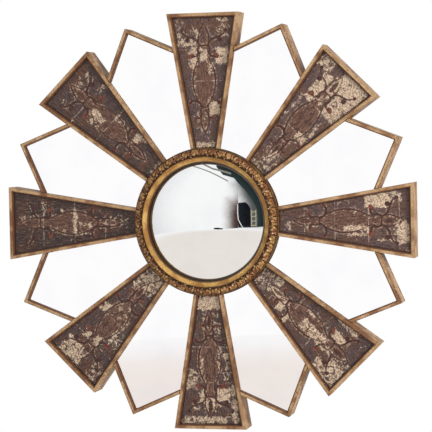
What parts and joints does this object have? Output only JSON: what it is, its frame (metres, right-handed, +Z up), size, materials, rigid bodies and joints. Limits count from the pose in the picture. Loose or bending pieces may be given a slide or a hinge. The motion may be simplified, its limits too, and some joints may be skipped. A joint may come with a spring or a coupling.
{
  "type": "girandole mirror",
  "caption": "Wall-hung girandole mirror: a convex mirror in a gilt leaf-moulded ring, with tapered gilt trays of decorated glass radiating between kite-shaped flat mirrors.",
  "frame": {"origin": "middle of the whole mirror's box, on the axis of the convex mirror", "axes": "+Z up, the mirror faces -Y, +X to the viewer's right; +Y points into the wall"},
  "size_m": [0.9, 0.079, 0.9],
  "materials": {
    "gilt_rail": "antique gilding on a mitred wooden rail, worn dark at the edges",
    "gilt_ring": "pressed leaf band and smooth cove, antique gilding with dark recesses",
    "leaf_panel": "back-gilded and painted glass, aged, with scroll ornament",
    "flat_mirror": "clear silvered flat glass",
    "convex_mirror": "clear silvered convex glass",
    "backing_board": "dark-stained fibreboard",
    "hub_plywood": "dark-stained plywood",
    "plated_steel": "plated steel"
  },
  "bodies": {
    "root": {"arm_1_frame": "gilt_rail", "arm_1_panel": "leaf_panel", "arm_1_back": "backing_board", "arm_2_frame": "gilt_rail", "arm_2_panel": "leaf_panel", "arm_2_back": "backing_board", "arm_3_frame": "gilt_rail", "arm_3_panel": "leaf_panel", "arm_3_back": "backing_board", "arm_4_frame": "gilt_rail", "arm_4_panel": "leaf_panel", "arm_4_back": "backing_board", "arm_5_frame": "gilt_rail", "arm_5_panel": "leaf_panel", "arm_5_back": "backing_board", "arm_6_frame": "gilt_rail", "arm_6_panel": "leaf_panel", "arm_6_back": "backing_board", "arm_7_frame": "gilt_rail", "arm_7_panel": "leaf_panel", "arm_7_back": "backing_board", "arm_8_frame": "gilt_rail", "arm_8_panel": "leaf_panel", "arm_8_back": "backing_board", "petal_1_frame": "gilt_rail", "petal_1_mirror": "flat_mirror", "petal_1_back": "backing_board", "petal_2_frame": "gilt_rail", "petal_2_mirror": "flat_mirror", "petal_2_back": "backing_board", "petal_3_frame": "gilt_rail", "petal_3_mirror": "flat_mirror", "petal_3_back": "backing_board", "petal_4_frame": "gilt_rail", "petal_4_mirror": "flat_mirror", "petal_4_back": "backing_board", "petal_5_frame": "gilt_rail", "petal_5_mirror": "flat_mirror", "petal_5_back": "backing_board", "petal_6_frame": "gilt_rail", "petal_6_mirror": "flat_mirror", "petal_6_back": "backing_board", "petal_7_frame": "gilt_rail", "petal_7_mirror": "flat_mirror", "petal_7_back": "backing_board", "petal_8_frame": "gilt_rail", "petal_8_mirror": "flat_mirror", "petal_8_back": "backing_board", "ring_moulding": "gilt_ring", "leaf_band": "gilt_ring", "convex_mirror": "convex_mirror", "mirror_seat": "hub_plywood", "hub_board": "hub_plywood", "hanger_strap_left": "plated_steel", "hanger_strap_right": "plated_steel"},
    "ring_left": {"d_ring_left": "plated_steel"},
    "ring_right": {"d_ring_right": "plated_steel"}
  },
  "joints": [
    {"name": "d_ring_left_swing", "type": "hinge", "parent": "root", "child": "ring_left", "pos_m": [-0.115, 0.03455, 0.12], "axis": [1, 0, 0], "range_deg": [0, 180]},
    {"name": "d_ring_right_swing", "type": "hinge", "parent": "root", "child": "ring_right", "pos_m": [0.115, 0.03455, 0.12], "axis": [1, 0, 0], "range_deg": [0, 180]}
  ]
}
